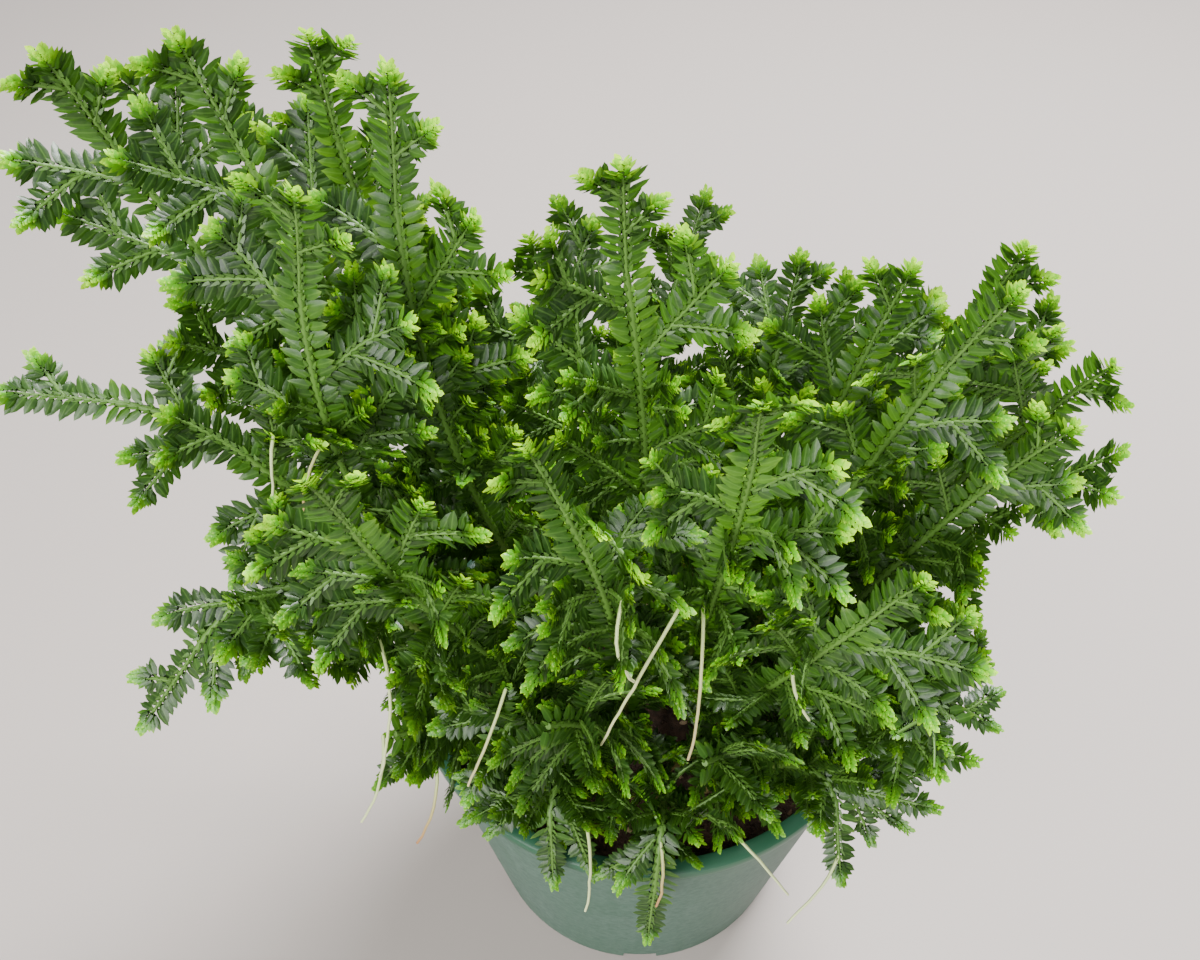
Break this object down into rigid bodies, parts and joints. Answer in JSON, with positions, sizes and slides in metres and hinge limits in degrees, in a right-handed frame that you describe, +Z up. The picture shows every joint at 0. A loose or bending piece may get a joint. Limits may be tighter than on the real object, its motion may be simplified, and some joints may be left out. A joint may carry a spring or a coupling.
{
  "type": "potted spikemoss",
  "caption": "Bushy green spikemoss with forked, flat leafy stems rising from soil in a round tapered nursery pot.",
  "frame": {"origin": "middle of the face that the pot stands on", "axes": "+Z up along the pot's axis; the fullest, lowest leafy stems hang over the rim toward -Y, the tallest lean toward -X"},
  "size_m": [0.2101, 0.1414, 0.2426],
  "materials": {
    "pot_plastic": "dusty grey-green moulded plastic with a darker glossy lip",
    "soil": "dark moist peat mix with small pale crumbs",
    "foliage": "waxy green scale leaves, yellow-green at the tips"
  },
  "bodies": {
    "root": {"pot": "pot_plastic", "soil": "soil", "leafy_stem_far_left": "foliage", "leafy_stem_left_upper": "foliage", "leafy_stem_left_near": "foliage", "leafy_stem_left_top": "foliage", "leafy_stem_left_inner": "foliage", "leafy_stem_inner_back": "foliage", "leafy_stem_centre": "foliage", "leafy_stem_centre_right": "foliage", "leafy_stem_centre_back": "foliage", "leafy_stem_right_back": "foliage", "leafy_stem_right_top": "foliage", "leafy_stem_right": "foliage", "leafy_stem_right_low": "foliage", "leafy_stem_right_droop": "foliage", "leafy_stem_front_right": "foliage", "leafy_stem_front": "foliage", "leafy_stem_front_left": "foliage", "leafy_stem_left_front": "foliage", "leafy_stem_left_rim": "foliage", "leafy_stem_right_rim": "foliage", "leafy_stem_left_droop": "foliage", "leafy_stem_left_out": "foliage", "leafy_stem_left_mid_low": "foliage", "leafy_stem_front_mid": "foliage", "leafy_stem_right_front": "foliage", "leafy_stem_right_mid": "foliage", "leafy_stem_left_mid": "foliage", "leafy_stem_front_low": "foliage", "leafy_stem_front_low_right": "foliage", "leafy_stem_back_left": "foliage", "leafy_stem_back": "foliage", "leafy_stem_back_right": "foliage", "leafy_stem_back_low": "foliage", "leafy_stem_back_low_right": "foliage"}
  },
  "joints": []
}
